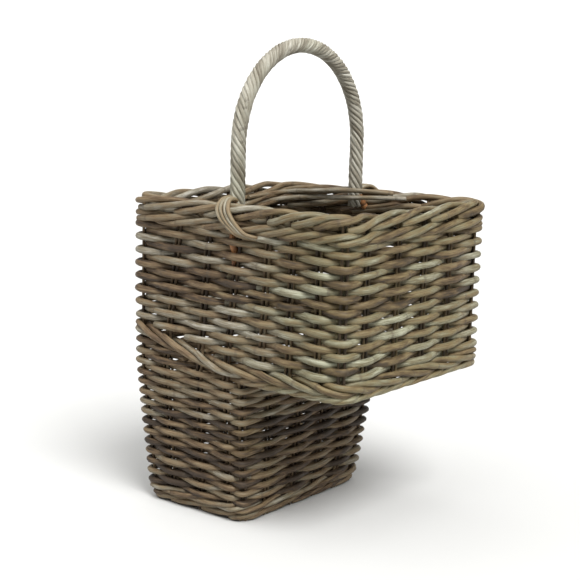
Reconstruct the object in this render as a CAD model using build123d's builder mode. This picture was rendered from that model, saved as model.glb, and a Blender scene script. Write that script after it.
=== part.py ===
"""Stair basket: a wide upper box, a narrower leg under one end, and a fixed bow handle.

Everything is woven from round cane. X runs along the staircase, with the overhang at +X,
Y runs across, and Z is up. The origin is on the floor below the middle of the upper box.
"""

import os
from math import radians, tan

from build123d import *

# Driving dimensions, in millimetres.
HALF_LENGTH = 165.0  # stake line of the end walls, from the middle
HALF_WIDTH = 148.0  # stake line of the long walls, above the step
FOOT_HALF_WIDTH = 118.5  # stake line of the long walls, at the floor
STEP_HEIGHT = 190.0  # underside of the overhang: the rise of one stair
LEG_INNER_TOP = 14.0  # stake line of the leg's inner wall, at the step
LEG_INNER_FOOT = -4.0  # the same, at the floor
HANDLE_X = -19.0  # plane of the bow
HANDLE_HALF_SPAN = 124.0  # the bow's legs stand this far from the middle above the rim
HANDLE_FOOT_HALF_SPAN = 133.5  # and their feet touch the inside of the long walls
HANDLE_CROWN_RADIUS = HANDLE_HALF_SPAN  # a half circle joins the two straight legs
HANDLE_LEG_TOP = 479.0
HANDLE_LEG_FOOT = 342.0
HANDLE_BOW_DIAMETER = 9.0
HANDLE_BEND_DROP = 14.0  # the legs bend outwards this far below the top of the rim
HANDLE_BEND_RADIUS = 200.0
HANDLE_ROPED_DIAMETER = 19.5

STAKE_DIAMETER = 3.8
STAKE_HALF_GAP = 3.2  # the two canes of a pair stand this far from their middle
CORNER_RADIUS = 16.0  # of the stake line
WEAVER_DIAMETER = 7.5
WEAVER_PITCH = 8.15
LEG_WEAVER_DIAMETER = 6.6
LEG_WEAVER_PITCH = 7.0
WALE_DIAMETER = 8.0
BORDER_DIAMETER = 9.0
SHELF_WEAVER_DIAMETER = 6.0
STICK_DIAMETER = 7.0
LASHING_DIAMETER = 4.6
CLEARANCE = 0.15  # between canes that lie on each other

# Stake pairs between the corners. Those of the long walls lean, so they are given where they pass
# the floor, the step and the rim. Those of the end walls keep their share of the wall's width.
FOOT_COLUMNS = (-124.0, -76.0, -25.0)
STEP_COLUMNS = (-115.0, -57.0, -13.0, 42.0, 85.0, 129.0)
RIM_COLUMNS = (-90.0, -41.0, 8.0, 53.0, 88.0, 127.0)
OUTER_END_COLUMNS = (-88.0, -29.0, 29.0, 88.0)
OVERHANG_END_COLUMNS = (-105.0, -41.0, 18.0, 76.0)
LEG_INNER_COLUMNS = (-94.0, -27.0, 32.0, 89.0)
SHELF_STICKS = (-88.0, -29.0, 29.0, 88.0)  # places along Y of the sticks under the overhang
BASE_STICK_SHARES = (-0.7, -0.35, 0.0, 0.35, 0.7)  # of the foot's half width, for the leg's sticks

# Heights worked out from the above.
FLAT_CUT = 0.3  # how far the undersides of foot and shelf border are trimmed flat
FOOT_Z = BORDER_DIAMETER / 2 - FLAT_CUT
FOOT_WALE_Z = FOOT_Z + (BORDER_DIAMETER + WALE_DIAMETER) / 2 + CLEARANCE
LEG_FIRST_ROW = FOOT_WALE_Z + (WALE_DIAMETER + LEG_WEAVER_DIAMETER) / 2 + CLEARANCE
SHELF_BORDER_Z = STEP_HEIGHT + BORDER_DIAMETER / 2 - FLAT_CUT
STEP_WALE_Z = SHELF_BORDER_Z + (BORDER_DIAMETER + WALE_DIAMETER) / 2 + CLEARANCE
STEP_WALE_TOP_Z = STEP_WALE_Z + WALE_DIAMETER + CLEARANCE
WALE_RISE = 4 * WEAVER_PITCH  # the step wale climbs this much on its way to the outer end
WALE_RISE_START = -20.0
UPPER_FIRST_ROW = STEP_WALE_TOP_Z + (WALE_DIAMETER + WEAVER_DIAMETER) / 2 + CLEARANCE
UPPER_ROWS = 21
RIM_WALE_Z = UPPER_FIRST_ROW + UPPER_ROWS * WEAVER_PITCH
RIM_BORDER_Z = RIM_WALE_Z + (BORDER_DIAMETER + WALE_DIAMETER) / 2 + CLEARANCE
RIM_CROWN_Z = RIM_BORDER_Z + BORDER_DIAMETER + CLEARANCE
STAKE_TOP_Z = RIM_BORDER_Z + BORDER_DIAMETER / 2

# Offsets from the stake line that let a cane pass a stake.
FLANK = STAKE_DIAMETER / 2 + CLEARANCE
CORNER_INSET = CORNER_RADIUS * (1 - 0.5**0.5)
WEAVER_SWELL = 2.75  # the control points of a weaver lie this far beyond its crests
WEAVER_TAIL = 7.0  # a short weaver is cut this far past its last stake
TAIL_TUCK = 2.0  # and its end lies this far in
TAIL_ROOM = WEAVER_TAIL + 1.5  # what such an end needs beside its last stake
CORNER_LEAVE = 3.5  # a weaver leaves a corner this far to its side of the stake line
SHELF_SWELL = 1.6  # as WEAVER_SWELL, for the canes of a floor
SHELF_BEND = 15.0  # largest bend radius of those canes
CORNER_SPARE = 0.3  # added to a weaver's reach where it turns round a corner stake

STAKE_LIFT = 1.0  # the stakes' feet clear the undersides by this much
INNER_STAKE_TUCK = 3.0  # the leg's inner stakes end this far into the step edge
STICK_SETTLE = 1.5  # the overhang's sticks lie this far above their lowest canes' crests
ROPING_LIFT = 1.0  # the roping starts this far above the rim

UPPER = "upper"
LEG = "leg"
FRONT, RIGHT, BACK, LEFT = range(4)
SIDES = ("front", "overhang_end", "back", "outer_end")
LEG_SIDES = ("front", "inner", "back", "outer_end")


def half_width(z):
    """Distance of the long walls' stake line from the middle at height z."""
    share = min(z / STEP_HEIGHT, 1.0)
    return FOOT_HALF_WIDTH + (HALF_WIDTH - FOOT_HALF_WIDTH) * share


def leg_inner(z):
    """Place along X of the leg's inner wall at height z."""
    return LEG_INNER_FOOT + (LEG_INNER_TOP - LEG_INNER_FOOT) * min(z / STEP_HEIGHT, 1.0)


def wale_rise(x):
    """How far the step wale has climbed where it passes x."""
    run = HALF_LENGTH - CORNER_INSET + WALE_RISE_START
    return WALE_RISE * min(max((WALE_RISE_START - x) / run, 0.0), 1.0)


def wall(box, side, z):
    """Start and end of a wall's stake line at height z, before the corners are rounded."""
    far = HALF_LENGTH if box == UPPER else leg_inner(z)
    near, half = -HALF_LENGTH, half_width(z)
    ring = [(near, -half), (far, -half), (far, half), (near, half)]
    return Vector(*ring[side], z), Vector(*ring[(side + 1) % 4], z)


def long_column(number, z):
    """Place along X of a long wall's stake pair at height z."""
    step = STEP_COLUMNS[number]
    if z > STEP_HEIGHT:
        return step + (RIM_COLUMNS[number] - step) * (z - STEP_HEIGHT) / (STAKE_TOP_Z - STEP_HEIGHT)
    return step + (FOOT_COLUMNS[number] - step) * (1 - z / STEP_HEIGHT)


def columns(box, side, z):
    """Places of a wall's inner stake pairs, in the order that a weaver passes them."""
    start = wall(box, side, z)[0]
    if side in (FRONT, BACK):
        count = len(STEP_COLUMNS if box == UPPER else FOOT_COLUMNS)
        places = [Vector(long_column(number, z), start.Y, z) for number in range(count)]
    else:
        spread = half_width(z) / HALF_WIDTH
        overhang = OVERHANG_END_COLUMNS if box == UPPER else LEG_INNER_COLUMNS
        shares = OUTER_END_COLUMNS if side == LEFT else overhang
        places = [Vector(start.X, y * spread, z) for y in shares]
    return places if side in (FRONT, RIGHT) else places[::-1]


def first_index(box, side):
    """Number of the stake at a wall's first corner, counted round the ring."""
    long_count = len(STEP_COLUMNS if box == UPPER else FOOT_COLUMNS)
    end_count = len(OUTER_END_COLUMNS)
    counts = (long_count, end_count, long_count)
    return sum(counts[:side]) + side


def turn_radii(points, largest):
    """For each inner point, the largest arc that leaves room on both of its runs."""
    radii = []
    for before, here, after in zip(points, points[1:], points[2:]):
        room = []
        for other, is_end in ((before, before is points[0]), (after, after is points[-1])):
            room.append((here - other).length * (0.9 if is_end else 0.45))
        turn = (here - before).get_angle(after - here)
        radii.append(min(largest, min(room) / tan(radians(turn) / 2)))
    return radii


def rod(points, diameter, largest_radius=40.0):
    """A round cane along straight runs joined by tangent arcs."""
    with BuildPart(mode=Mode.PRIVATE) as cane:
        with BuildLine() as path:
            if len(points) == 2:
                Line(*points)
            else:
                FilletPolyline(*points, radius=turn_radii(points, largest_radius))
        with BuildSketch(Plane(origin=path.line @ 0, z_dir=path.line % 0)):
            Circle(diameter / 2)
        sweep()
    return cane.part


def corner_points(box, side, z, at_end, corner_offset, wall_offset):
    """The corner's middle and the point where the path leaves it for the wall."""
    start, end = wall(box, side, z)
    along = (end - start).normalized()
    outward = along.rotate(Axis.Z, -90)
    corner, inward = (end, -along) if at_end else (start, along)
    diagonal = (outward - inward).normalized()
    middle = corner - diagonal * (CORNER_INSET * 2**0.5) + diagonal * corner_offset
    depth = wall_offset - (middle - corner).dot(outward)
    leaving = middle + (inward + outward) * depth
    return middle, leaving


def weaver(box, side, z, row, diameter, first=0, last=None):
    """One cane of a wall, in front of one stake pair and behind the next.

    first and last count the wall's stakes, corners included. A cane that stops short of a
    corner is cut a little past its last stake.
    """
    places = columns(box, side, z)
    start, end = wall(box, side, z)
    along = (end - start).normalized()
    outward = along.rotate(Axis.Z, -90)
    last = len(places) + 1 if last is None else last
    reach = FLANK + diameter / 2
    bow = reach + WEAVER_SWELL
    points = []
    for number in range(first, last + 1):
        sign = 1 if (first_index(box, side) + number + row) % 2 == 0 else -1
        if number in (0, len(places) + 1):
            turn, leave = sign * (reach + CORNER_SPARE), sign * CORNER_LEAVE
            pair = corner_points(box, side, z, number > 0, turn, leave)
            points += pair if number == 0 else reversed(pair)
            continue
        place = places[number - 1] + outward * sign * bow
        tuck = outward * sign * TAIL_TUCK
        if number == first:
            points.append(place - along * WEAVER_TAIL - tuck)
        points.append(place)
        if number == last:
            points.append(place + along * WEAVER_TAIL - tuck)
    return rod(points, diameter)


def ring_side(box, side, z, diameter, offset, climbs=False):
    """One side of a ring of cane that keeps its distance from the stake line."""
    first_corner = corner_points(box, side, z, False, offset, offset)
    last_corner = corner_points(box, side, z, True, offset, offset)
    points = [*first_corner, *reversed(last_corner)]
    if climbs:
        points = [Vector(point.X, point.Y, z + wale_rise(point.X)) for point in points]
        points.insert(2, Vector(WALE_RISE_START, points[1].Y, z))
    return rod(points, diameter, largest_radius=CORNER_RADIUS)


def stake_pair(points, across):
    """Two canes side by side through the same points."""
    return [
        rod([point + across * side * STAKE_HALF_GAP for point in points], STAKE_DIAMETER)
        for side in (-1, 1)
    ]


def over_under(x, places, z, first_sign, end):
    """A cane across the floor of a box, over one stick and under the next."""
    reach = (STICK_DIAMETER + SHELF_WEAVER_DIAMETER) / 2 + CLEARANCE + SHELF_SWELL
    points = [Vector(x, -end, z)]
    for number, y in enumerate(places):
        points.append(Vector(x, y, z + first_sign * (-1) ** number * reach))
    points.append(Vector(x, end, z))
    return rod(points, SHELF_WEAVER_DIAMETER, largest_radius=SHELF_BEND)


def side_by_side(low, high, diameter, pitch):
    """Evenly spaced places for canes that fill a gap, at about the given pitch."""
    first, last = low + diameter / 2 + 1.0, high - diameter / 2 - 1.0
    count = round((last - first) / pitch)
    return [first + (last - first) * number / count for number in range(count + 1)]


def mirrored(canes):
    """The same canes on the other long side."""
    return [mirror(cane, about=Plane.XZ) for cane in canes]


def write(name, canes):
    """Make one sub-part of its canes, label it and write it to its own file."""
    with BuildPart() as node:
        add(canes)
    node.part.label = name
    export_step(node.part, f"parts/{name}.step")


def trimmed(canes, z):
    """Canes with their undersides cut flat at z."""
    with BuildPart() as node:
        add(canes)
        split(bisect_by=Plane.XY.offset(z), keep=Keep.TOP)
    return node.part


os.makedirs("parts", exist_ok=True)

# Floor of the leg: sticks along it, with canes woven over and under them.
base_z = SHELF_WEAVER_DIAMETER + STICK_DIAMETER
base_places = [share * FOOT_HALF_WIDTH for share in BASE_STICK_SHARES]
inner_reach = 2 * FLANK + BORDER_DIAMETER - STAKE_DIAMETER / 2
base_low = -HALF_LENGTH + inner_reach
base_high = leg_inner(base_z) - inner_reach
base_end = half_width(base_z) - inner_reach
write("leg_base_sticks", [
    rod([Vector(base_low, y, base_z), Vector(base_high, y, base_z)], STICK_DIAMETER)
    for y in base_places
])
write("leg_base_weave", [
    over_under(x, base_places, base_z, (-1) ** number, base_end)
    for number, x in enumerate(side_by_side(base_low, base_high, SHELF_WEAVER_DIAMETER, WEAVER_PITCH))
])

# Foot of the leg: two canes flank the stakes on the floor, and two more lie on them.
foot_offset = FLANK + BORDER_DIAMETER / 2
wale_offset = FLANK + WALE_DIAMETER / 2
for side, side_name in enumerate(LEG_SIDES):
    write(f"leg_foot_border_{side_name}", trimmed([
        ring_side(LEG, side, FOOT_Z, BORDER_DIAMETER, offset) for offset in (foot_offset, -foot_offset)
    ], 0.0))
write("leg_foot_wale", [
    ring_side(LEG, side, FOOT_WALE_Z, WALE_DIAMETER, offset)
    for side in range(4)
    for offset in (wale_offset, -wale_offset)
])

# Stakes: pairs of canes that stand in every wall. Those of the leg's outer walls run up to the rim.
foot_z = STAKE_LIFT
long_across = Vector(1, 0, 0)
end_across = Vector(0, 1, 0)


shelf_foot = STEP_HEIGHT + STAKE_LIFT
inner_top = SHELF_BORDER_Z + INNER_STAKE_TUCK


def wall_stakes(box, side, heights, across, first=0):
    """All stake pairs between a wall's corners, through their places at the given heights."""
    canes = []
    for places in zip(*(columns(box, side, z)[first:] for z in heights)):
        canes += stake_pair(places, across)
    return canes


leg_columns_up = []
for number in range(len(FOOT_COLUMNS)):
    heights = (foot_z, STEP_HEIGHT, STAKE_TOP_Z)
    points = [Vector(long_column(number, z), -half_width(z), z) for z in heights]
    leg_columns_up += stake_pair(points, long_across)
write("front_leg_stakes", leg_columns_up)
write("back_leg_stakes", mirrored(leg_columns_up))

overhang_heights = (shelf_foot, STAKE_TOP_Z)
overhang_columns = wall_stakes(UPPER, FRONT, overhang_heights, long_across, first=len(FOOT_COLUMNS))
write("front_overhang_stakes", overhang_columns)
write("back_overhang_stakes", mirrored(overhang_columns))

outer_heights = (foot_z, STEP_HEIGHT, STAKE_TOP_Z)
write("outer_end_stakes", wall_stakes(UPPER, LEFT, outer_heights, end_across))
write("leg_inner_stakes", wall_stakes(LEG, RIGHT, (foot_z, inner_top), end_across))
write("overhang_end_stakes", wall_stakes(UPPER, RIGHT, overhang_heights, end_across))


def corner_pair(box, at_end, heights):
    """The pair of stakes in a front corner."""
    points = [corner_points(box, FRONT, z, at_end, 0.0, 0.0)[0] for z in heights]
    across = Vector(1, 1 if at_end else -1, 0).normalized()
    return stake_pair(points, across)


outer_corner = corner_pair(UPPER, False, (foot_z, STEP_HEIGHT, STAKE_TOP_Z))
inner_corner = corner_pair(LEG, True, (foot_z, inner_top))
overhang_corner = corner_pair(UPPER, True, (shelf_foot, STAKE_TOP_Z))
write("outer_corner_stakes", outer_corner + mirrored(outer_corner))
write("inner_corner_stakes", inner_corner + mirrored(inner_corner))
write("overhang_corner_stakes", overhang_corner + mirrored(overhang_corner))

# Overhang: a border round its underside, an edge along the step, sticks and woven canes.
shelf_start = LEG_INNER_TOP + inner_reach + INNER_STAKE_TUCK
shelf_border = []
for offset in (foot_offset, -foot_offset):
    corner = corner_points(UPPER, FRONT, SHELF_BORDER_Z, True, offset, offset)
    start = Vector(shelf_start, corner[1].Y, SHELF_BORDER_Z)
    shelf_border.append(rod([start, corner[1], corner[0]], BORDER_DIAMETER, CORNER_RADIUS))
write("shelf_border_front", trimmed(shelf_border, STEP_HEIGHT))
write("shelf_border_back", trimmed(mirrored(shelf_border), STEP_HEIGHT))
write("shelf_border_overhang_end", trimmed([
    ring_side(UPPER, RIGHT, SHELF_BORDER_Z, BORDER_DIAMETER, offset)
    for offset in (foot_offset, -foot_offset)
], STEP_HEIGHT))

edge_end = HALF_WIDTH - inner_reach
step_edge = []
for offset in (foot_offset, -foot_offset):
    ends = [Vector(LEG_INNER_TOP + offset, y, SHELF_BORDER_Z) for y in (-edge_end, edge_end)]
    step_edge.append(rod(ends, BORDER_DIAMETER))
write("step_edge", trimmed(step_edge, STEP_HEIGHT))

shelf_z = STEP_HEIGHT + SHELF_WEAVER_DIAMETER + STICK_DIAMETER / 2 + STICK_SETTLE
shelf_low = LEG_INNER_TOP + inner_reach + CLEARANCE
shelf_high = HALF_LENGTH - inner_reach
write("shelf_sticks", [
    rod([Vector(shelf_low, y, shelf_z), Vector(shelf_high, y, shelf_z)], STICK_DIAMETER)
    for y in SHELF_STICKS
])
write("shelf_weave", [
    over_under(x, SHELF_STICKS, shelf_z, (-1) ** number, edge_end)
    for number, x in enumerate(side_by_side(shelf_low, shelf_high, SHELF_WEAVER_DIAMETER, WEAVER_PITCH))
])

# Leg walls: rows up to the step wale, which climbs towards the outer end.
leg_reach = (WALE_DIAMETER + LEG_WEAVER_DIAMETER) / 2 + CLEARANCE
leg_front, leg_inner_wall, leg_outer = [], [], []
row, z = 0, LEG_FIRST_ROW
while z <= STEP_WALE_Z + WALE_RISE - leg_reach:
    leg_outer.append(weaver(LEG, LEFT, z, row, LEG_WEAVER_DIAMETER))
    if z <= STEP_HEIGHT - LEG_WEAVER_DIAMETER / 2:
        leg_inner_wall.append(weaver(LEG, RIGHT, z, row, LEG_WEAVER_DIAMETER))
    if z <= STEP_WALE_Z - leg_reach:
        leg_front.append(weaver(LEG, FRONT, z, row, LEG_WEAVER_DIAMETER))
    else:
        clear = 0
        for place in columns(UPPER, FRONT, z)[:len(FOOT_COLUMNS)]:
            if STEP_WALE_Z + wale_rise(place.X + TAIL_ROOM) - z >= leg_reach:
                clear += 1
        if clear:
            leg_front.append(weaver(UPPER, FRONT, z, row, LEG_WEAVER_DIAMETER, last=clear))
    row, z = row + 1, z + LEG_WEAVER_PITCH
write("leg_front_weave", leg_front)
write("leg_back_weave", mirrored(leg_front))
write("leg_inner_weave", leg_inner_wall)
write("leg_outer_end_weave", leg_outer)

# Step wale: one cane inside and two outside the stakes, all round the upper box.
for side, side_name in enumerate(SIDES):
    climbs = side in (FRONT, BACK)
    lift = WALE_RISE if side == LEFT else 0.0
    write(f"step_wale_{side_name}", [
        ring_side(UPPER, side, STEP_WALE_Z + lift, WALE_DIAMETER, wale_offset, climbs),
        ring_side(UPPER, side, STEP_WALE_TOP_Z + lift, WALE_DIAMETER, wale_offset, climbs),
        ring_side(UPPER, side, STEP_WALE_TOP_Z + lift, WALE_DIAMETER, -wale_offset, climbs),
    ])

# Upper walls: rows from the step wale to the rim. The lowest start where the wale leaves room.
upper_reach = (WALE_DIAMETER + WEAVER_DIAMETER) / 2 + CLEARANCE
front, end, outer = [], [], []
for row in range(UPPER_ROWS):
    z = UPPER_FIRST_ROW + row * WEAVER_PITCH
    end.append(weaver(UPPER, RIGHT, z, row, WEAVER_DIAMETER))
    if z - STEP_WALE_TOP_Z - WALE_RISE > upper_reach - 0.1:
        outer.append(weaver(UPPER, LEFT, z, row, WEAVER_DIAMETER))
        front.append(weaver(UPPER, FRONT, z, row, WEAVER_DIAMETER))
    else:
        blocked = 0
        for place in columns(UPPER, FRONT, z):
            if z - STEP_WALE_TOP_Z - wale_rise(place.X - TAIL_ROOM) < upper_reach:
                blocked += 1
        front.append(weaver(UPPER, FRONT, z, row, WEAVER_DIAMETER, first=blocked + 1))
write("front_weave", front)
write("back_weave", mirrored(front))
write("overhang_end_weave", end)
write("outer_end_weave", outer)

# Rim: a wale, two border canes that flank the stakes and two more that crown them.
crown_offset = (BORDER_DIAMETER + CLEARANCE) / 2
for side, side_name in enumerate(SIDES):
    write(f"rim_wale_{side_name}", [
        ring_side(UPPER, side, RIM_WALE_Z, WALE_DIAMETER, offset) for offset in (wale_offset, -wale_offset)
    ])
    write(f"rim_border_{side_name}", [
        ring_side(UPPER, side, RIM_BORDER_Z, BORDER_DIAMETER, foot_offset),
        ring_side(UPPER, side, RIM_BORDER_Z, BORDER_DIAMETER, -foot_offset),
        ring_side(UPPER, side, RIM_CROWN_Z, BORDER_DIAMETER, crown_offset),
        ring_side(UPPER, side, RIM_CROWN_Z, BORDER_DIAMETER, -crown_offset),
    ])

# Handle: a bent cane whose legs run down the inside of the long walls, roped above the rim.
rim_top = RIM_CROWN_Z + BORDER_DIAMETER / 2
bend_z = rim_top - HANDLE_BEND_DROP
near_low = Vector(HANDLE_X, -HANDLE_FOOT_HALF_SPAN, HANDLE_LEG_FOOT)
near_bend = Vector(HANDLE_X, -HANDLE_HALF_SPAN, bend_z)
near_high = Vector(HANDLE_X, -HANDLE_HALF_SPAN, HANDLE_LEG_TOP)
crown = Vector(HANDLE_X, 0, HANDLE_LEG_TOP + HANDLE_CROWN_RADIUS)
far_high = Vector(HANDLE_X, HANDLE_HALF_SPAN, HANDLE_LEG_TOP)
far_bend = Vector(HANDLE_X, HANDLE_HALF_SPAN, bend_z)
far_low = Vector(HANDLE_X, HANDLE_FOOT_HALF_SPAN, HANDLE_LEG_FOOT)
with BuildPart() as bow:
    with BuildLine() as bow_path:
        FilletPolyline(near_low, near_bend, near_high, radius=HANDLE_BEND_RADIUS)
        ThreePointArc(near_high, crown, far_high)
        FilletPolyline(far_high, far_bend, far_low, radius=HANDLE_BEND_RADIUS)
    with BuildSketch(Plane(origin=bow_path.line @ 0, z_dir=bow_path.line % 0)):
        Circle(HANDLE_BOW_DIAMETER / 2)
    sweep(path=bow_path.line)
write("handle_bow", bow.part)

roping_foot = rim_top + ROPING_LIFT
with BuildPart() as near_roping:
    with BuildSketch(Plane.XY.offset(roping_foot)):
        with Locations((HANDLE_X, -HANDLE_HALF_SPAN)):
            Circle(HANDLE_ROPED_DIAMETER / 2)
            Circle(HANDLE_BOW_DIAMETER / 2, mode=Mode.SUBTRACT)
    extrude(amount=HANDLE_LEG_TOP - roping_foot)
write("handle_roping_near", near_roping.part)
write("handle_roping_far", mirrored([near_roping.part]))

with BuildPart() as crown_roping:
    with BuildLine() as crown_path:
        ThreePointArc(near_high, crown, far_high)
    with BuildSketch(Plane.XY.offset(HANDLE_LEG_TOP)):
        with Locations((HANDLE_X, -HANDLE_HALF_SPAN)):
            Circle(HANDLE_ROPED_DIAMETER / 2)
            Circle(HANDLE_BOW_DIAMETER / 2, mode=Mode.SUBTRACT)
    sweep(path=crown_path.line)
write("handle_roping_crown", crown_roping.part)

# Lashings: strand ends of the roping that pass over the rim and down its outer face.
LASHING_COUNT = 3
LASHING_AHEAD = 13.5  # the first strand passes the rim this far before the bow
LASHING_START = 6.0  # it starts this far outside the bow's leg
LASHING_FALL = 6.0  # it ends this far below the rim wale's middle
LASHING_SWEEP = 9.0  # how far it turns sideways as it falls
LASHING_TURN_RISE = 12.0
LASHING_END = 16.0  # it ends this far beyond the bow
LASHING_DIP = 3.0
LASHING_BEND = 9.0
lashing_step = LASHING_DIAMETER + 4 * CLEARANCE
lashing_top = rim_top + LASHING_DIAMETER / 2 + CLEARANCE
lashing_face = -(HALF_WIDTH + foot_offset + (BORDER_DIAMETER + LASHING_DIAMETER) / 2 + CLEARANCE)
near_lashing = []
for number in range(LASHING_COUNT):
    x = HANDLE_X - LASHING_AHEAD - number * lashing_step
    lower = RIM_WALE_Z - LASHING_FALL - number * lashing_step
    near_lashing.append(rod([
        Vector(x, -HANDLE_HALF_SPAN - LASHING_START, lashing_top),
        Vector(x, lashing_face, lashing_top),
        Vector(x, lashing_face, lower + LASHING_TURN_RISE),
        Vector(x + LASHING_SWEEP, lashing_face, lower),
        Vector(HANDLE_X + LASHING_END, lashing_face, lower - LASHING_DIP),
    ], LASHING_DIAMETER, largest_radius=LASHING_BEND))
write("near_lashing", near_lashing)
write("far_lashing", mirrored(near_lashing))
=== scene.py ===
from math import cos, pi, radians, sin, tau

import bpy
import numpy as np
from mathutils import Matrix, Vector


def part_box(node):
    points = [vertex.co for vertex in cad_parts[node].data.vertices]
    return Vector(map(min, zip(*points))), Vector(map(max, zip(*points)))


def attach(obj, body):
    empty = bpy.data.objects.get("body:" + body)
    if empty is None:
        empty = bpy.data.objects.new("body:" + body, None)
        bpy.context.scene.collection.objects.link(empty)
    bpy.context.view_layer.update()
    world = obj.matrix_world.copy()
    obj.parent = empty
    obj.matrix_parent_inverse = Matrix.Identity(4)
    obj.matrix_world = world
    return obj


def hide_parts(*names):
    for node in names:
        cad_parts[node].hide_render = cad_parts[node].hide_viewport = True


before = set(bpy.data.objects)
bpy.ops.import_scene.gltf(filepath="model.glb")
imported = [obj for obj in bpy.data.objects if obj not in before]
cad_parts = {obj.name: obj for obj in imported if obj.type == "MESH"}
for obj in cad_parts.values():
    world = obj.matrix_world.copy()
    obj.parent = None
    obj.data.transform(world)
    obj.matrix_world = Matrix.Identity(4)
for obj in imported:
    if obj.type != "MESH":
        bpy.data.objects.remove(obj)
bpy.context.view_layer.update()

# Where it stands: a plain pale floor in a dim white room, under one wide soft lamp to the right
# of the front and a softer one overhead. The view is from the front right, a little above the
# rim.
VIEW_PLACE = (1.0264, -1.3434, 0.5800)
VIEW_YAW, VIEW_PITCH, VIEW_ROLL = radians(128.209), radians(-9.818), radians(1.409)
VIEW_LENS, VIEW_FRAME = 81.37, 36.0
VIEW_FAR_END = 50.0

camera = bpy.data.objects.new("view", bpy.data.cameras.new("view"))
bpy.context.scene.collection.objects.link(camera)
camera.data.lens = VIEW_LENS
camera.data.sensor_width = VIEW_FRAME
camera.data.clip_end = VIEW_FAR_END
turn = (Matrix.Rotation(VIEW_YAW - pi / 2, 4, "Z") @ Matrix.Rotation(pi / 2 + VIEW_PITCH, 4, "X")
        @ Matrix.Rotation(VIEW_ROLL, 4, "Z"))
camera.matrix_world = Matrix.Translation(VIEW_PLACE) @ turn
bpy.context.scene.camera = camera
bpy.context.scene.view_settings.view_transform = "Standard"
bpy.context.scene.view_settings.look = "None"

ROOM_GLOW = 0.28
room = bpy.data.worlds.new("room")
room.use_nodes = True
room.node_tree.nodes["Background"].inputs["Color"].default_value = (1.0, 1.0, 1.0, 1.0)
room.node_tree.nodes["Background"].inputs["Strength"].default_value = ROOM_GLOW
bpy.context.scene.world = room


def soft_lamp(name, towards, spread, power):
    """A far, wide lamp that lights everything evenly. towards points from the basket to it."""
    lamp = bpy.data.objects.new(name, bpy.data.lights.new(name, "SUN"))
    lamp.data.angle = radians(spread)
    lamp.data.energy = power
    lamp.matrix_world = (-Vector(towards)).to_track_quat("-Z", "Y").to_matrix().to_4x4()
    bpy.context.scene.collection.objects.link(lamp)


soft_lamp("key_lamp", (1.5, -0.7, 1.9), 30.0, 4.3)
soft_lamp("top_lamp", (-0.1, -0.3, 1.0), 70.0, 2.2)

# The floor is a wide round tray whose rim curves up far away, so that no edge shows behind it.
FLOOR_DROP = 0.0004
TRAY_FLAT, TRAY_CURVE, TRAY_TOP = 5.0, 3.0, 4.5
TRAY_STEPS, TRAY_SIDES = 24, 96
FLOOR_GREY, FLOOR_ROUGHNESS = (0.53, 0.53, 0.52, 1), 0.9
tray_line = [(0.8 * TRAY_FLAT, 0.0)]
for step in range(TRAY_STEPS + 1):
    angle = step / TRAY_STEPS * pi / 2
    tray_line.append((TRAY_FLAT + TRAY_CURVE * sin(angle), TRAY_CURVE * (1 - cos(angle))))
tray_line.append((TRAY_FLAT + TRAY_CURVE, TRAY_TOP))
tray_points = []
for reach, up in tray_line:
    for corner in range(TRAY_SIDES):
        heading = corner * tau / TRAY_SIDES
        tray_points.append((reach * cos(heading), reach * sin(heading), up - FLOOR_DROP))
tray_faces = [tuple(range(TRAY_SIDES))]
for level in range(len(tray_line) - 1):
    for corner in range(TRAY_SIDES):
        inner, after = level * TRAY_SIDES, (corner + 1) % TRAY_SIDES
        outer = inner + TRAY_SIDES
        tray_faces.append((outer + corner, outer + after, inner + after, inner + corner))
floor_mesh = bpy.data.meshes.new("floor")
floor_mesh.from_pydata(tray_points, [], tray_faces)
floor_mesh.polygons.foreach_set("use_smooth", [True] * len(tray_faces))
floor = bpy.data.objects.new("floor", floor_mesh)
bpy.context.scene.collection.objects.link(floor)
floor_paint = bpy.data.materials.new("floor_paint")
floor_paint.use_nodes = True
floor_shader = floor_paint.node_tree.nodes["Principled BSDF"]
floor_shader.inputs["Base Color"].default_value = FLOOR_GREY
floor_shader.inputs["Roughness"].default_value = FLOOR_ROUGHNESS
floor_mesh.materials.append(floor_paint)


# Floors of the leg and of the overhang: peeled sticks with thin round canes laid over and under
# them. They keep their own shape, and take the look of old grey cane that has dried indoors.
class Value:
    """A shader socket that adds Math nodes when it is used in sums."""

    def __init__(self, finish, socket):
        self.finish = finish
        self.socket = socket

    def sum(self, operation, *others):
        return self.finish.node("ShaderNodeMath", {"operation": operation}, [self, *others])

    def __add__(self, other):
        return self.sum("ADD", other)

    def __sub__(self, other):
        return self.sum("SUBTRACT", other)

    def __rsub__(self, other):
        return self.finish.node("ShaderNodeMath", {"operation": "SUBTRACT"}, [other, self])

    def __mul__(self, other):
        return self.sum("MULTIPLY", other)

    __radd__ = __add__
    __rmul__ = __mul__


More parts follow.
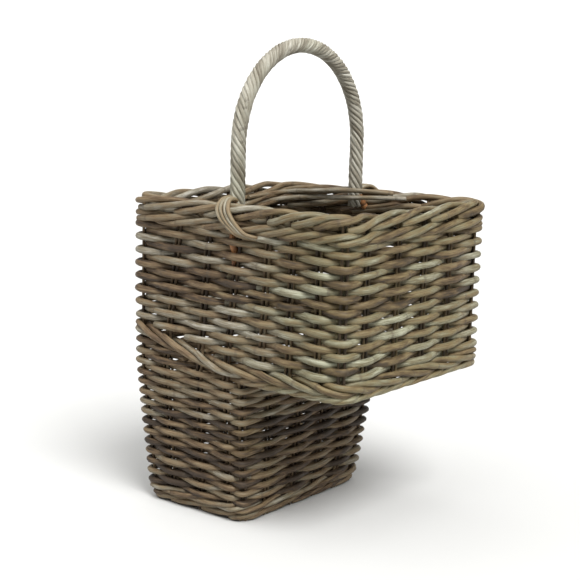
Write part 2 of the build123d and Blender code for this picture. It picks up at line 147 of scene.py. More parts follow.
class Finish:
    """One material, built up node by node around a Principled shader."""

    def __init__(self, name):
        self.material = bpy.data.materials.new(name)
        self.material.use_nodes = True
        self.tree = self.material.node_tree
        self.shader = self.tree.nodes["Principled BSDF"]

    def put(self, socket, value):
        if isinstance(value, Value):
            self.tree.links.new(value.socket, socket)
        else:
            socket.default_value = value

    def node(self, kind, settings=None, inputs=(), output=0):
        made = self.tree.nodes.new(kind)
        for key, setting in (settings or {}).items():
            if key == "stops":
                ramp = made.color_ramp.elements
                while len(ramp) < len(setting):
                    ramp.new(0.5)
                for element, (place, colour) in zip(ramp, setting):
                    element.position = place
                    element.color = (*colour, 1.0)
            else:
                setattr(made, key, setting)
        pairs = inputs.items() if isinstance(inputs, dict) else enumerate(inputs)
        for key, value in pairs:
            self.put(made.inputs[key], value)
        return Value(self, made.outputs[output])

    def noise(self, vector, scale, detail=2.0, roughness=0.5):
        return self.node("ShaderNodeTexNoise", {"noise_dimensions": "3D"}, {
            "Vector": vector, "Scale": scale, "Detail": detail, "Roughness": roughness})

    def stretched(self, vector, factors):
        return self.node("ShaderNodeVectorMath", {"operation": "MULTIPLY"}, [vector, factors])

    def between(self, value, low, high):
        """0 below low, 1 above high, and smooth in between."""
        return self.node("ShaderNodeMapRange", {"interpolation_type": "SMOOTHSTEP"}, {
            "Value": value, "From Min": low, "From Max": high})

    def blend(self, factor, first, second, mode="MIX"):
        return self.node("ShaderNodeMix", {"data_type": "RGBA", "blend_type": mode}, {
            0: factor, 6: first, 7: second}, output=2)


WEATHERED = (
    (0.02, (0.040, 0.025, 0.014)),
    (0.20, (0.112, 0.071, 0.036)),
    (0.38, (0.188, 0.134, 0.074)),
    (0.55, (0.180, 0.148, 0.096)),
    (0.72, (0.246, 0.222, 0.172)),
    (0.95, (0.400, 0.380, 0.322)),
)
OLIVE = (0.95, 1.02, 0.88, 1)
OLIVE_SIDE = (3.2, -0.8, 0.0)  # the overhang's end is greener than the leg's front
FIBRE = (38.0, 1500.0, 1500.0)  # how fine each mark is along and across the cane, per metre
BLOTCH = (9.0, 70.0, 70.0)
PATCH = (55.0, 230.0, 230.0)
SPECK = (420.0, 900.0, 900.0)
NODE_SPACING = 0.17
CREVICE = (0.36, 0.30, 0.22, 1)
SOIL = (0.06, 0.045, 0.03, 1)
SHEEN, BUMP_DEPTH = 0.38, 0.0006


def cane_look(finish, grain, tone, shades=WEATHERED, gloss=0.62):
    """Weathered cane. grain runs along the cane in x, and tone says how bleached a cane is."""
    blotch = finish.noise(finish.stretched(grain, BLOTCH), 1.0, 3.0, 0.6)
    patch = finish.noise(finish.stretched(grain, PATCH), 1.0, 2.0, 0.6)
    streak = finish.noise(finish.stretched(grain, FIBRE), 1.0, 3.0, 0.65)
    along = finish.node("ShaderNodeSeparateXYZ", None, [grain])
    since_node = finish.node("ShaderNodeMath", {"operation": "FRACT"}, [along * (1 / NODE_SPACING)])
    node_ring = finish.between(since_node, 0.030, 0.012)
    speck = finish.noise(finish.stretched(grain, SPECK), 1.0, 2.0)
    shade = tone * 0.60 + blotch * 1.30 - 0.54 + (patch - 0.5) * 0.75 + (streak - 0.5) * 0.42
    colour = finish.node("ShaderNodeValToRGB", {"stops": shades}, [shade])
    place = finish.node("ShaderNodeTexCoord", None, (), output="Object")
    side = finish.node("ShaderNodeVectorMath", {"operation": "DOT_PRODUCT"}, [place, OLIVE_SIDE], output=1)
    green = finish.between(side + finish.noise(place, 14.0, 1.0), 0.45, 1.15)
    greener = finish.blend(green, colour, OLIVE, "MULTIPLY")
    furrow = finish.between(streak, 0.56, 0.34) * 0.75
    dark = finish.blend(furrow, greener, CREVICE, "MULTIPLY")
    dirt = finish.between(speck, 0.60, 0.74) * 0.5 + node_ring * 0.4
    dirty = finish.blend(dirt, dark, SOIL)
    finish.put(finish.shader.inputs["Base Color"], dirty)
    finish.put(finish.shader.inputs["Roughness"], gloss - 0.14 + streak * 0.28)
    finish.shader.inputs["Specular IOR Level"].default_value = SHEEN
    bump = finish.node("ShaderNodeBump", None, {
        "Strength": 0.75, "Distance": BUMP_DEPTH,
        "Height": streak * 0.7 + blotch * 0.5 + node_ring * 0.9})
    finish.put(finish.shader.inputs["Normal"], bump)
    return finish.material


def along_axis(name, order, tone_low, tone_high, shades=WEATHERED):
    """The same cane for a part that keeps its own shape. order names the axis it runs along."""
    finish = Finish(name)
    place = finish.node("ShaderNodeTexCoord", None, (), output="Object")
    parts = [finish.node("ShaderNodeSeparateXYZ", None, [place], output=axis) for axis in order]
    grain = finish.node("ShaderNodeCombineXYZ", None, parts)
    patches = finish.noise(place, 45.0, 1.0)
    tone = tone_low + finish.between(patches, 0.35, 0.65) * (tone_high - tone_low)
    return cane_look(finish, grain, tone, shades)


def dress(node, material):
    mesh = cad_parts[node].data
    mesh.materials.clear()
    mesh.materials.append(material)


ALONG_X, ALONG_Y, ALONG_Z = (0, 1, 2), (1, 0, 2), (2, 0, 1)
stick_cane = along_axis("stick_cane", ALONG_X, 0.25, 0.7)
floor_cane = along_axis("floor_cane", ALONG_Y, 0.2, 0.75)
for node in ("leg_base_sticks", "shelf_sticks"):
    dress(node, stick_cane)
for node in ("leg_base_weave", "shelf_weave", "step_edge"):
    dress(node, floor_cane)


# Stakes: pairs of thin brown canes that stand in every wall, two in each corner. Those of the
# overhang start at the shelf, and the others run from the floor to the rim. Their tone is set
# low, so that they show as painted shade in the gaps between the weaving's rows.
stake_cane = along_axis("stake_cane", ALONG_Z, -0.12, 0.22)
STAKES = (
    "front_leg_stakes", "back_leg_stakes", "front_overhang_stakes", "back_overhang_stakes",
    "outer_end_stakes", "leg_inner_stakes", "overhang_end_stakes",
    "outer_corner_stakes", "inner_corner_stakes", "overhang_corner_stakes")
for node in STAKES:
    dress(node, stake_cane)


# Foot border of the leg: long canes that roll round each other in a flat loop under the stakes,
# each from one stake to the fourth one on, with the ends cut inside.
MM = 0.001
SIDES = 10


def box_mm(node):
    low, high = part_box(node)
    return Vector(low) / MM, Vector(high) / MM


half_length = -sum(corner.x for corner in box_mm("outer_end_stakes")) / 2
half_width = sum(corner.y for corner in box_mm("back_overhang_stakes")) / 2
STAKE_RADIUS = 1.9
foot_half_width = box_mm("back_leg_stakes")[0].y + STAKE_RADIUS
inner_foot = box_mm("leg_inner_stakes")[0].x + STAKE_RADIUS
inner_top = box_mm("leg_inner_stakes")[1].x - STAKE_RADIUS
step_height = box_mm("shelf_border_front")[0].z
rim_top = box_mm("rim_border_front")[1].z
stake_top = box_mm("front_overhang_stakes")[1].z
CORNER = 16.0  # radius of the stake line round a corner
BACK_CORNER, OUTER_CORNER = 19, 24  # stake numbers of the outer corners on the upper ring

FOOT_COLUMNS = (-124.0, -76.0, -25.0)
STEP_COLUMNS = (-115.0, -57.0, -13.0, 42.0, 85.0, 129.0)
RIM_COLUMNS = (-90.0, -41.0, 8.0, 53.0, 88.0, 127.0)
OUTER_END_COLUMNS = (-88.0, -29.0, 29.0, 88.0)
OVERHANG_END_COLUMNS = (-105.0, -41.0, 18.0, 76.0)
LEG_INNER_COLUMNS = (-94.0, -27.0, 32.0, 89.0)


class Ring:
    """The line that a wall's stakes stand on, walked round once and counted in stakes."""

    def __init__(self, low_x, high_x, half_y, front, right, left):
        self.low_x, self.high_x, self.half_y = low_x, high_x, half_y
        self.arc = arc = CORNER * pi / 2
        self.long_run = high_x - low_x - 2 * CORNER
        self.short_run = 2 * half_y - 2 * CORNER
        places = [0.0]
        places += [arc / 2 + x - low_x - CORNER for x in front]
        start = arc + self.long_run
        places.append(start)
        places += [start + arc / 2 + y + half_y - CORNER for y in right]
        start += arc + self.short_run
        places.append(start)
        places += [start + arc / 2 + high_x - CORNER - x for x in reversed(front)]
        start += arc + self.long_run
        places.append(start)
        places += [start + arc / 2 + half_y - CORNER - y for y in reversed(left)]
        self.count = len(places)
        self.length = start + arc + self.short_run
        self.places = np.array(places + [self.length])

    def at(self, stakes):
        """Point and outward direction at each stake number, which may be a fraction."""
        stakes = np.asarray(stakes, float)
        run = np.interp(stakes % self.count, np.arange(self.count + 1), self.places) + self.arc / 2
        points, outward = np.zeros((len(run), 2)), np.zeros((len(run), 2))
        begin = 0.0
        centres = ((self.low_x, -self.half_y, 1, 1), (self.high_x, -self.half_y, -1, 1),
                   (self.high_x, self.half_y, -1, -1), (self.low_x, self.half_y, 1, -1))
        for side in range(5):
            corner_x, corner_y, in_x, in_y = centres[side % 4]
            centre = np.array([corner_x + in_x * CORNER, corner_y + in_y * CORNER])
            heading = side * pi / 2
            straight = self.long_run if side % 2 == 0 else self.short_run
            on_arc = (run >= begin) & (run < begin + self.arc)
            angle = heading - pi + (run - begin) / CORNER
            direction = np.stack([np.cos(angle), np.sin(angle)], axis=1)
            points[on_arc] = centre + CORNER * direction[on_arc]
            outward[on_arc] = direction[on_arc]
            begin += self.arc
            on_line = (run >= begin) & (run < begin + straight)
            normal = np.array([cos(heading - pi / 2), sin(heading - pi / 2)])
            ahead = np.array([cos(heading), sin(heading)])
            points[on_line] = centre + CORNER * normal + (run[on_line, None] - begin) * ahead
            outward[on_line] = normal
            begin += straight
        return points, outward


def wall_half(z):
    """Half the width between the long walls at a height, from the foot to the step and above."""
    return foot_half_width + (half_width - foot_half_width) * min(z / step_height, 1.0)


def leg_ring(z, inset=0.0):
    """The ring of the leg's stakes at a height."""
    share = min(z / step_height, 1.0)
    spread = wall_half(z) / half_width
    front = [low + (high - low) * share for low, high in zip(FOOT_COLUMNS, STEP_COLUMNS)]
    return Ring(-half_length + inset, inner_foot + (inner_top - inner_foot) * share - inset,
                wall_half(z) - inset, front,
                [y * spread for y in LEG_INNER_COLUMNS], [y * spread for y in OUTER_END_COLUMNS])


def upper_ring(z):
    """The ring of the upper box's stakes at a height."""
    share = min(max((z - step_height) / (stake_top - step_height), 0.0), 1.0)
    front = [low + (high - low) * share for low, high in zip(STEP_COLUMNS, RIM_COLUMNS)]
    return Ring(-half_length, half_length, half_width, front, OVERHANG_END_COLUMNS, OUTER_END_COLUMNS)


class Cane:
    """A bent cane: the points that it passes, its radius, and how bleached it is."""

    def __init__(self, points, radius, tone, taper=(1.0, 1.0)):
        self.points = np.asarray(points, float)
        self.radius = radius
        self.tone = tone
        self.taper = taper


def smooth_line(points, steps):
    """A Catmull-Rom curve through the points."""
    padded = np.vstack([2 * points[0] - points[1], points, 2 * points[-1] - points[-2]])
    share = (np.arange(steps) / steps)[:, None]
    pieces = []
    for before, here, there, after in zip(padded, padded[1:], padded[2:], padded[3:]):
        pieces.append(0.5 * (2 * here + (there - before) * share
                             + (2 * before - 5 * here + 4 * there - after) * share**2
                             + (3 * here - before - 3 * there + after) * share**3))
    return np.vstack([*pieces, points[-1:]])


SWELLS = ((0.035, 17.0), (0.025, 6.3))  # how much thicker a cane gets in places, and how often
THINNEST = 0.93  # the least that a cane's width is of its height
END_BEVEL, END_SIZE = 0.16, 0.8
GRAIN_RUN, GRAIN_SHIFT = 9000, 0.37


def cane_piece(name, canes, material, seed, steps=4, sides=SIDES):
    """One object made of many canes, with the grain and the tone of each kept on its points."""
    rng = np.random.default_rng(seed)
    corners, faces, flat, grains, tones = [], [], [], [], []
    total = 0
    circle = np.arange(sides) * tau / sides
    for cane in canes:
        line = smooth_line(cane.points, steps)
        tangent = np.gradient(line, axis=0)
        tangent /= np.linalg.norm(tangent, axis=1)[:, None]
        along = np.concatenate([[0.0], np.cumsum(np.linalg.norm(np.diff(line, axis=0), axis=1))])
        side = np.cross(tangent[0], (0.0, 0.0, 1.0) if abs(tangent[0][2]) < 0.8 else (1.0, 0.0, 0.0))
        frames = np.zeros_like(line)
        for number, direction in enumerate(tangent):
            side = side - direction * side.dot(direction)
            side = side / np.linalg.norm(side)
            frames[number] = side
        other = np.cross(tangent, frames)
        count = len(line)
        phases = rng.uniform(0, tau, 3)
        swell = 1 + sum(more * np.sin(along / wave + phase) for (more, wave), phase in zip(SWELLS, phases))
        taper = np.interp(along / along[-1], np.linspace(0, 1, len(cane.taper)), cane.taper)
        thick = cane.radius * swell * taper
        oval = rng.uniform(THINNEST, 1.0)
        ring = (oval * np.cos(circle)[None, :, None] * frames[:, None, :]
                + np.sin(circle)[None, :, None] * other[:, None, :])
        body = line[:, None, :] + thick[:, None, None] * ring
        bevel = END_BEVEL * cane.radius
        first = line[0] - tangent[0] * bevel + END_SIZE * thick[0] * ring[0]
        last = line[-1] + tangent[-1] * bevel + END_SIZE * thick[-1] * ring[-1]
        body = np.concatenate([first[None], body, last[None]])
        along = np.concatenate([[along[0]], along, [along[-1]]])
        start = rng.uniform(0, GRAIN_RUN)
        for number in range(count + 1):
            for corner in range(sides):
                after = (corner + 1) % sides
                low = total + number * sides
                faces.append((low + corner, low + after, low + sides + after, low + sides + corner))
                flat.append(True)
        faces.append(tuple(total + corner for corner in reversed(range(sides))))
        faces.append(tuple(total + (count + 1) * sides + corner for corner in range(sides)))
        flat += [False, False]
        corners.append(body.reshape(-1, 3))
        grain = np.zeros((count + 2, sides, 3))
        grain[:, :, 0] = (along + start)[:, None]
        grain[:, :, 1] = cane.radius * np.cos(circle) + start * GRAIN_SHIFT
        grain[:, :, 2] = cane.radius * np.sin(circle)
        grains.append(grain.reshape(-1, 3))
        tones.append(np.full((count + 2) * sides, cane.tone))
        total += (count + 2) * sides
    mesh = bpy.data.meshes.new(name)
    mesh.from_pydata((np.vstack(corners) * MM).tolist(), [], faces)
    mesh.polygons.foreach_set("use_smooth", flat)
    mesh.attributes.new("grain", "FLOAT_VECTOR", "POINT").data.foreach_set(
        "vector", (np.vstack(grains) * MM).ravel())
    mesh.attributes.new("tone", "FLOAT", "POINT").data.foreach_set("value", np.concatenate(tones))
    mesh.materials.append(material)
    mesh.update()
    piece = bpy.data.objects.new(name, mesh)
    bpy.context.scene.collection.objects.link(piece)
    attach(piece, "root")
    return piece


def bent_cane(name, shades=WEATHERED, gloss=0.62):
    """Cane material that reads the grain and tone that cane_piece keeps."""
    finish = Finish(name)
    grain = finish.node("ShaderNodeAttribute", {"attribute_name": "grain"}, (), output="Vector")
    tone = finish.node("ShaderNodeAttribute", {"attribute_name": "tone"}, (), output="Fac")
    return cane_look(finish, grain, tone, shades, gloss)


weaver_cane = bent_cane("weaver_cane")
border_cane = bent_cane("border_cane")


ROLL_START, ROLL_TURN, ROLL_POINTS = radians(-115), radians(325), 15
TAIL_AHEAD, TAIL_INWARD, TAIL_LIFT = np.array([0.3, 0.6, 1.0]), [1.25, 1.5, 1.65], [-0.9, -1.8, -2.9]


def rolled_border(ring, height, wide, high, radius, reach, rng, tail=0.0):
    """Canes that each run round a flat loop: in below, out, up, over and in again.

    A cane takes reach stakes for its turn, and a new one starts at every stake. Where tail is
    given, its end runs on for about that many stakes down the inside. The last canes stop where
    the first ones already lie.
    """
    canes = []
    for start in range(ring.count):
        begin = start + rng.uniform(-0.12, 0.12)
        share = np.linspace(0.0, 1.0, ROLL_POINTS)
        stakes = begin + share * reach * rng.uniform(0.90, 1.10)
        angle = ROLL_START - share * ROLL_TURN
        across, up = np.cos(angle), np.sin(angle)
        if tail:
            stakes = np.append(stakes, stakes[-1] + TAIL_AHEAD * tail * rng.uniform(0.7, 1.2))
            across = np.append(across, TAIL_INWARD)
            up = np.append(up, TAIL_LIFT)
        keep = stakes <= ring.count + reach
        points, outward = ring.at(stakes)
        offset = -wide * across + rng.uniform(-0.5, 0.5)
        flat = points + outward * offset[:, None]
        lift = height + high * up + rng.uniform(-0.5, 0.5)
        canes.append(Cane(np.column_stack([flat, lift])[keep], radius * rng.uniform(0.92, 1.07),
                          rng.uniform(0.15, 0.85), (1.0, 0.85)))
    return canes


FOOT_RADIUS, FOOT_WIDE, FOOT_HIGH = 3.9, 6.4, 3.9
FOOT_INSET, FOOT_REACH = 3.5, 4.2
FOOT_RING_Z = 8.0
rng = np.random.default_rng(11)
foot_ring = leg_ring(FOOT_RING_Z, FOOT_INSET)
foot_canes = rolled_border(foot_ring, FOOT_RADIUS + FOOT_HIGH, FOOT_WIDE, FOOT_HIGH, FOOT_RADIUS,
                           FOOT_REACH, rng)
foot_border = cane_piece("leg_foot_border", foot_canes, border_cane, 12, steps=3)
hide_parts(*[f"leg_foot_border_{side}" for side in ("front", "inner", "back", "outer_end")])


# Foot wale: three canes that pass in turn in front of two stakes and behind the third, so that
# they look like a rope. It locks the stakes before the weaving starts.
WALE_GAP, WALE_BULGE, WALE_CROSSING, WALE_STAGGER = 0.6, 2.4, 1.0, 0.4


def wale(ring_of, height, drop, radius, turn, rng, rise=None):
    """Three rods that go round once. turn is 1 where they slant down as they go on, else -1."""
    ring = ring_of(height)
    canes = []
    for rod in range(3):
        stakes = np.arange(0, 2 * ring.count + 1) / 2.0 + rod
        beat = (np.arange(0, 2 * ring.count + 1)) % 6
        reach = STAKE_RADIUS + radius + WALE_GAP
        outs = np.array([reach, reach + WALE_BULGE, reach, WALE_CROSSING, -reach, WALE_CROSSING])[beat]
        ups = np.array([drop, 0.0, -drop, -drop - WALE_STAGGER, 0.0, drop + WALE_STAGGER])[beat] * turn
        points, outward = ring.at(stakes)
        heights = height + ups + rng.uniform(-0.4, 0.4, len(stakes))
        if rise is not None:
            heights += rise(points)
        canes.append(Cane(np.column_stack([points + outward * outs[:, None], heights]),
                          radius * rng.uniform(0.96, 1.05), rng.uniform(0.3, 0.7)))
    return canes


FOOT_WALE_RADIUS, FOOT_WALE_DROP, FOOT_WALE_LIFT = 3.1, 2.7, 1.5
foot_wale_z = box_mm("leg_foot_wale")[1].z + FOOT_WALE_LIFT
rng = np.random.default_rng(21)
foot_wale_canes = wale(leg_ring, foot_wale_z, FOOT_WALE_DROP, FOOT_WALE_RADIUS, -1, rng)
foot_wale = cane_piece("leg_foot_wale_rods", foot_wale_canes, weaver_cane, 22)
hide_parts("leg_foot_wale")


# Weaving of the leg: single round canes, each in front of one stake pair and behind the next,
# and the other way about in the next row. A new cane starts inside, behind a stake.
WALE_RISE_START, WALE_RISE_END = -20.0, 4.7 - half_length
full_rise = (box_mm("step_wale_outer_end")[0] - box_mm("step_wale_overhang_end")[0]).z


def wale_rise(points):
    """How far the step wale has climbed above its lowest part, on its way to the outer end."""
    run = WALE_RISE_START - WALE_RISE_END
    return full_rise * np.clip((WALE_RISE_START - points[:, 0]) / run, 0.0, 1.0)


PRESS = 0.3  # how far a cane is pressed into its stakes
SLANT = 0.8  # a cane passes from one side of the wall to the other this much off its row
SAG = 0.45  # and lies this much lower inside the wall, and higher outside


def row_cane(ring, height, row, first, last, radius, rng, ends=(0.0, 0.0)):
    """One cane of a row, from one stake number to another."""
    inner = np.arange(np.ceil(first * 2), np.floor(last * 2) + 1) / 2.0
    stakes = np.unique(np.concatenate([[first], inner, [last]]))
    reach = STAKE_RADIUS + radius - PRESS
    beat = pi * (stakes + row)
    offset = reach * np.cos(beat) * rng.uniform(0.94, 1.08, len(stakes))
    facing = np.where(np.isclose(ring.at(stakes)[1][:, 0], 1.0), 1.0, -1.0)
    heights = height + SLANT * facing * np.sin(beat) + SAG * np.cos(beat)
    heights += rng.uniform(-0.5, 0.5, len(stakes))
    heights[0] += ends[0]
    heights[-1] += ends[1]
    points, outward = ring.at(stakes)
    return Cane(np.column_stack([points + outward * offset[:, None], heights]),
                radius * rng.uniform(0.91, 1.06), rng.uniform(0.0, 1.0))


ROW_OVERLAP, END_INWARD = 0.3, 0.985


def round_row(ring, height, row, radius, rng):
    """A full row in three canes whose ends lie inside, behind a stake."""
    inside = np.array([stake for stake in range(ring.count) if (stake + row) % 2 == 1])
    picks = sorted(rng.choice(inside, 3, replace=False))
    canes = []
    for begin, end in zip(picks, picks[1:] + [picks[0] + ring.count]):
        cane = row_cane(ring, height, row, begin - ROW_OVERLAP, end + ROW_OVERLAP, radius, rng)
        cane.points[-2:, :2] *= END_INWARD
        canes.append(cane)
    return canes


step_wale_low, step_wale_high = box_mm("step_wale_overhang_end")
step_wale_z = (step_wale_low.z + step_wale_high.z) / 2
LEG_RADIUS, LEG_PITCH = 4.15, 7.0
LEG_BROWN_AND_SHADE = 0.32  # the leg's canes are browner than those above, and darker still as painted shade under the upper box
LEG_FIRST_LIFT, LEG_LAST_DROP, LEG_STEP_DROP = 7.8, 10.0, 3.0
BELOW_WALE, LEG_ROW_END = 9.0, 0.6
leg_first = box_mm("leg_front_weave")[0].z + LEG_FIRST_LIFT
rng = np.random.default_rng(31)
leg_canes = []
row, z = 0, leg_first
while z < step_wale_z + full_rise - LEG_LAST_DROP:
    if z < step_height - LEG_STEP_DROP:
        leg_canes += round_row(leg_ring(z), z, row, LEG_RADIUS, rng)
    else:
        ring = upper_ring(z)
        room = step_wale_z + wale_rise(ring.at(np.arange(1, 4))[0]) - z
        clear = int((room > BELOW_WALE).sum()) + LEG_ROW_END
        leg_canes.append(row_cane(ring, z, row, BACK_CORNER - clear, OUTER_CORNER + clear, LEG_RADIUS, rng))
    row, z = row + 1, z + LEG_PITCH
# Painted shade: the leg's canes get a lower tone, partly for their browner colour and partly for the shade
# under the upper box.
for cane in leg_canes:
    cane.tone -= LEG_BROWN_AND_SHADE
leg_weaving = cane_piece("leg_weaving", leg_canes, weaver_cane, 32)
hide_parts("leg_front_weave", "leg_back_weave", "leg_inner_weave", "leg_outer_end_weave")


# Border under the overhang: a light rope of canes along both long sides and round the end, which
# lies on the tread of the next stair. The step edge closes it along the leg.
SHELF_RADIUS, SHELF_WIDE, SHELF_HIGH = 3.4, 5.2, 2.8
SHELF_STRANDS, SHELF_TURNS, SHELF_FIRST = 4, 5.6, 3.55
BLEACHING = 1.15
PALE = tuple((place, tuple(channel * BLEACHING for channel in colour)) for place, colour in WEATHERED)
pale_cane = bent_cane("pale_cane", PALE)


def twisted(ring, first, last, height, wide, high, radius, strands, turns, rng):
    """Strands twisted round each other between two stake numbers."""
    canes = []
    for strand in range(strands):
        share = np.linspace(0.0, 1.0, int(turns * 12) + 1)
        angle = -share * turns * tau + strand * tau / strands
        points, outward = ring.at(first + share * (last - first))
        flat = points - outward * (wide * np.cos(angle))[:, None]
        canes.append(Cane(np.column_stack([flat, height + high * np.sin(angle)]),
                          radius * rng.uniform(0.95, 1.05), rng.uniform(0.35, 0.9)))
    return canes


rng = np.random.default_rng(41)
shelf_border_z = step_height + SHELF_RADIUS + SHELF_HIGH
shelf_canes = twisted(upper_ring(step_height), SHELF_FIRST, BACK_CORNER - SHELF_FIRST, shelf_border_z,
                      SHELF_WIDE, SHELF_HIGH, SHELF_RADIUS, SHELF_STRANDS, SHELF_TURNS, rng)
shelf_border = cane_piece("shelf_border", shelf_canes, pale_cane, 42)
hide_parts("shelf_border_front", "shelf_border_back", "shelf_border_overhang_end")


# Step wale: a thick rope of three canes round the upper box. It starts low on the overhang and
# climbs past the leg to the outer corners.
STEP_WALE_RADIUS, STEP_WALE_DROP = 4.2, 4.3
rng = np.random.default_rng(51)
step_canes = wale(upper_ring, step_wale_z, STEP_WALE_DROP, STEP_WALE_RADIUS, 1, rng, wale_rise)
step_wale = cane_piece("step_wale", step_canes, weaver_cane, 52)
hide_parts(*[f"step_wale_{side}" for side in ("front", "overhang_end", "back", "outer_end")])


# Weaving of the upper box: thicker canes in the same plain weave, from the step wale to the rim.
# The lowest rows are short and fill the wedge above the climbing wale.
UPPER_RADIUS = 4.7
RIM_RADIUS, RIM_WIDE, RIM_HIGH = 4.45, 8.8, 7.4
RIM_WALE_RADIUS, RIM_WALE_DROP = 4.1, 4.1
BORDER_PRESS, ROW_PRESS = 3.0, 2.5  # how far the border sinks into the wale, and the wale into the last row
ABOVE_WALE, SHORT_ROW_END, SHORT_ROW_DIP = 10.5, 0.45, -2.0
border_z = rim_top - RIM_RADIUS - RIM_HIGH
rim_wale_z = border_z - RIM_HIGH - RIM_RADIUS - RIM_WALE_RADIUS - RIM_WALE_DROP + BORDER_PRESS
UPPER_ROWS = 19
upper_first = box_mm("front_weave")[0].z + UPPER_RADIUS
upper_last = rim_wale_z - RIM_WALE_DROP - RIM_WALE_RADIUS - UPPER_RADIUS + ROW_PRESS
rng = np.random.default_rng(61)
upper_canes = []
for row in range(UPPER_ROWS):
    z = upper_first + (upper_last - upper_first) * row / (UPPER_ROWS - 1)
    ring = upper_ring(z)
    room = z - step_wale_z - wale_rise(ring.at(np.arange(0, 7))[0])
    blocked = int((room < ABOVE_WALE).sum())
    if blocked:
        first = blocked - SHORT_ROW_END
        upper_canes.append(row_cane(ring, z, row, first, BACK_CORNER - first, UPPER_RADIUS, rng,
                                    (SHORT_ROW_DIP, SHORT_ROW_DIP)))
    else:
        upper_canes += round_row(ring, z, row, UPPER_RADIUS, rng)
upper_weaving = cane_piece("upper_weaving", upper_canes, weaver_cane, 62)
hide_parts("front_weave", "back_weave", "overhang_end_weave", "outer_end_weave")


# Rim: a last wale of three canes, and over it the stakes' own tops, rolled over each other into
# a thick border with their ends cut off inside.
rng = np.random.default_rng(71)
rim_wale_canes = wale(upper_ring, rim_wale_z, RIM_WALE_DROP, RIM_WALE_RADIUS, -1, rng)
rim_wale = cane_piece("rim_wale", rim_wale_canes, weaver_cane, 72)
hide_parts(*[f"rim_wale_{side}" for side in ("front", "overhang_end", "back", "outer_end")])

RIM_REACH, RIM_TAIL = 3.7, 2.7
rng = np.random.default_rng(73)
rim_ring = upper_ring(border_z)
rim_canes = rolled_border(rim_ring, border_z, RIM_WIDE, RIM_HIGH, RIM_RADIUS, RIM_REACH, rng, RIM_TAIL)

# Two long canes lie inside the rim and pass in front of the far foot of the handle. Each point is
# a stake number, how far in it lies, and how far above the rim's top.
INNER_RADIUS = 3.6
INNER_LONG = ((22.6, 12.0, -36.0), (21.0, 13.5, -30.0), (19.5, 14.5, -25.0), (18.2, 19.0, -19.0),
              (17.1, 33.0, -14.0), (16.4, 38.5, -11.0), (15.6, 29.0, -9.0), (14.8, 17.0, -8.0))
INNER_SHORT = ((20.6, 15.0, -18.0), (19.2, 16.0, -15.0), (18.0, 24.0, -9.0), (16.9, 39.0, -3.0),
               (16.1, 36.0, -1.0), (15.3, 18.0, -3.0))
for path, tone in ((INNER_LONG, 0.9), (INNER_SHORT, 0.7)):
    stakes, inward, lift = np.array(path).T
    points, outward = rim_ring.at(stakes)
    rim_canes.append(Cane(np.column_stack([points - outward * inward[:, None], rim_top + lift]),
                          INNER_RADIUS, tone, (0.9, 1.0, 0.8)))
rim_border = cane_piece("rim_border", rim_canes, border_cane, 74)
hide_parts(*[f"rim_border_{side}" for side in ("front", "overhang_end", "back", "outer_end")])


# Bow: one thick orange-brown cane bent to a hoop. Its pointed ends are pushed down between the
# long walls' canes.
bow_low, bow_high = box_mm("handle_bow")
BOW_RADIUS = (bow_high.x - bow_low.x) / 2
BOW_POINTS = 25
FOOT_START = 18.0
bow_x = (bow_low.x + bow_high.x) / 2
bow_span = box_mm("handle_roping_crown")[1].y - (box_mm("handle_roping_near")[1].x - bow_x)
crown_z = bow_high.z - BOW_RADIUS
leg_top = crown_z - bow_span
BOW_FOOT = (
    (bow_x + 1.0, bow_span + 1.0, rim_top + FOOT_START),
    (bow_x + 2.0, bow_span + 3.0, rim_top - 1.0),
    (bow_x + 10.0, half_width - 8.0, rim_top - 22.0),
    (bow_x + 16.0, half_width + 2.5, rim_top - 46.0),
    (bow_x + 17.0, half_width - 1.0, rim_top - 62.0),
    (bow_x + 17.0, half_width + 3.0, rim_top - 86.0),
)
FAR_FOOT_IN = (3.0, 9.0)  # the far foot goes down closer to its roping
POINTED = (1.0, 1.0, 1.0, 0.95, 0.7, 0.15)
BROWN = (
    (0.1, (0.10, 0.04, 0.015)),
    (0.5, (0.30, 0.13, 0.045)),
    (0.9, (0.42, 0.22, 0.09)),
)


bow_angle = np.linspace(pi, 0.0, BOW_POINTS)
bow_arc = np.column_stack([np.full(BOW_POINTS, bow_x), bow_span * np.cos(bow_angle),
                           leg_top + bow_span * np.sin(bow_angle)])
far_foot = np.array(BOW_FOOT)
near_foot = far_foot * (1, -1, 1)
far_foot[1:3, 1] -= FAR_FOOT_IN
leg_middle = (leg_top + rim_top + FOOT_START) / 2
near_leg, far_leg = [(bow_x, side * bow_span, leg_middle) for side in (-1, 1)]
whole_bow = np.vstack([near_foot[:3][::-1], [near_leg], bow_arc, [far_leg], far_foot[:3]])
bow_canes = [Cane(whole_bow, BOW_RADIUS, 0.55), Cane(near_foot[2:], BOW_RADIUS, 0.6, POINTED),
             Cane(far_foot[2:], BOW_RADIUS, 0.6, POINTED)]
bow = cane_piece("bow", bow_canes, bent_cane("bow_cane", BROWN, 0.5), 82)
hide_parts("handle_bow")


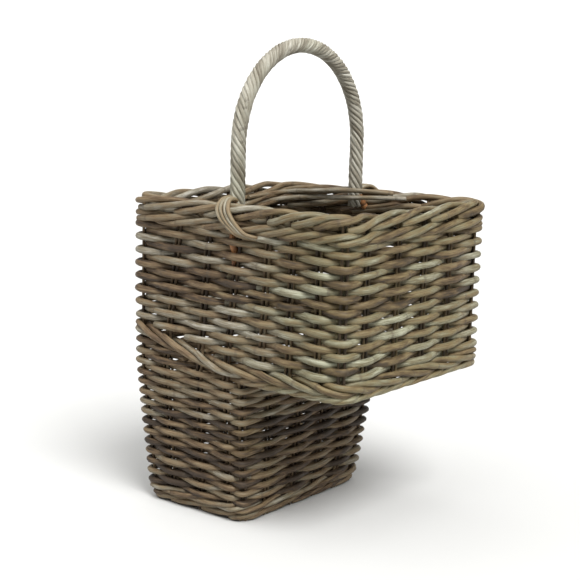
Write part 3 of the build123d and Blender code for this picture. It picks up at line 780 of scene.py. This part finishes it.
# Roping: seven pale canes laid side by side round the bow, in long turns on the legs and
# in short ones over the crown.
ROPING_RADIUS = 3.05
ROPING_STRANDS = 7
roped_radius = box_mm("handle_roping_near")[1].x - bow_x - ROPING_RADIUS
LEG_TURN, CROWN_TURN = 74.0, 44.0
BLEACHED = (
    (0.1, (0.150, 0.128, 0.094)),
    (0.4, (0.275, 0.256, 0.205)),
    (0.65, (0.400, 0.384, 0.325)),
    (0.95, (0.540, 0.525, 0.465)),
)
roping_cane = bent_cane("roping_cane", BLEACHED, 0.58)
ROPED_FOOT = (-24.0, 3.0, 30.0)  # heights of its straight feet, from the rim's top
BEND_BELOW = 30.0  # where the turns begin to shorten, below the bend
near_roped, far_roped = [
    [(bow_x, side * bow_span, rim_top + rise) for rise in ROPED_FOOT] for side in (-1, 1)]
core = smooth_line(np.vstack([near_roped, bow_arc, far_roped[::-1]]), 5)
core_run = np.concatenate([[0.0], np.cumsum(np.linalg.norm(np.diff(core, axis=0), axis=1))])
bend_start = leg_top - BEND_BELOW
height_share = np.clip((core[:, 2] - bend_start) / (crown_z - bend_start), 0.0, 1.0)
pitch = LEG_TURN + (CROWN_TURN - LEG_TURN) * height_share
twist = np.concatenate([[0.0], np.cumsum(np.diff(core_run) * tau / ((pitch[1:] + pitch[:-1]) / 2))])
core_tangent = np.gradient(core, axis=0)
core_tangent /= np.linalg.norm(core_tangent, axis=1)[:, None]
sideways = np.array([1.0, 0.0, 0.0])
core_side = sideways - core_tangent * (core_tangent @ sideways)[:, None]
core_side /= np.linalg.norm(core_side, axis=1)[:, None]
core_up = np.cross(core_tangent, core_side)
rng = np.random.default_rng(91)
strands = []
for strand in range(ROPING_STRANDS):
    angle = -twist + strand * tau / ROPING_STRANDS + 0.05 * np.sin(core_run / 40 + strand)
    round_core = np.cos(angle)[:, None] * core_side + np.sin(angle)[:, None] * core_up
    strands.append(Cane(core + round_core * (roped_radius + rng.uniform(-0.2, 0.2)),
                        ROPING_RADIUS * rng.uniform(0.96, 1.06), rng.uniform(0.25, 0.8)))
roping = cane_piece("handle_roping", strands, roping_cane, 92, steps=2, sides=8)
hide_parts("handle_roping_near", "handle_roping_far", "handle_roping_crown")


# Lashings: at each foot four strands leave the roping, pass over the rim and down its outer
# face, and are pulled in under the border. Each point is how far it lies along the rim, outward
# from the leg, and above the rim's top.
LASHING_RADIUS, LASHING_STRANDS, LASHING_SHIFT = 2.7, 4, 4.0
LASHING_LEFT = ((-6.0, 2.0, 2.0), (-7.0, 12.0, 4.0), (-8.0, 24.0, 2.0), (-7.0, 34.0, -7.0),
                (1.0, 38.5, -18.0), (15.0, 39.0, -29.0), (32.0, 38.0, -37.0), (54.0, 27.0, -41.0))
LASHING_RIGHT = ((0.0, 6.0, 0.0), (3.0, 15.0, 3.0), (6.0, 27.0, 2.0), (12.0, 36.0, -7.0),
                 (19.0, 38.5, -16.0), (29.0, 39.0, -26.0), (43.0, 38.0, -35.0), (62.0, 27.0, -39.0))
for name, side, seed in (("near_lashing", -1, 101), ("far_lashing", 1, 102)):
    rng = np.random.default_rng(seed)
    canes = []
    for share in np.linspace(0.0, 1.0, LASHING_STRANDS):
        along, out, lift = (np.array(LASHING_LEFT) * (1 - share) + np.array(LASHING_RIGHT) * share).T
        points = np.column_stack([bow_x + LASHING_SHIFT + along, side * (bow_span + out), rim_top + lift])
        canes.append(Cane(points, LASHING_RADIUS * rng.uniform(0.95, 1.1), rng.uniform(0.3, 0.8),
                          (0.9, 0.8)))
    piece = cane_piece(f"{name}_strands", canes, pale_cane, seed + 10, steps=6)
    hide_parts(name)
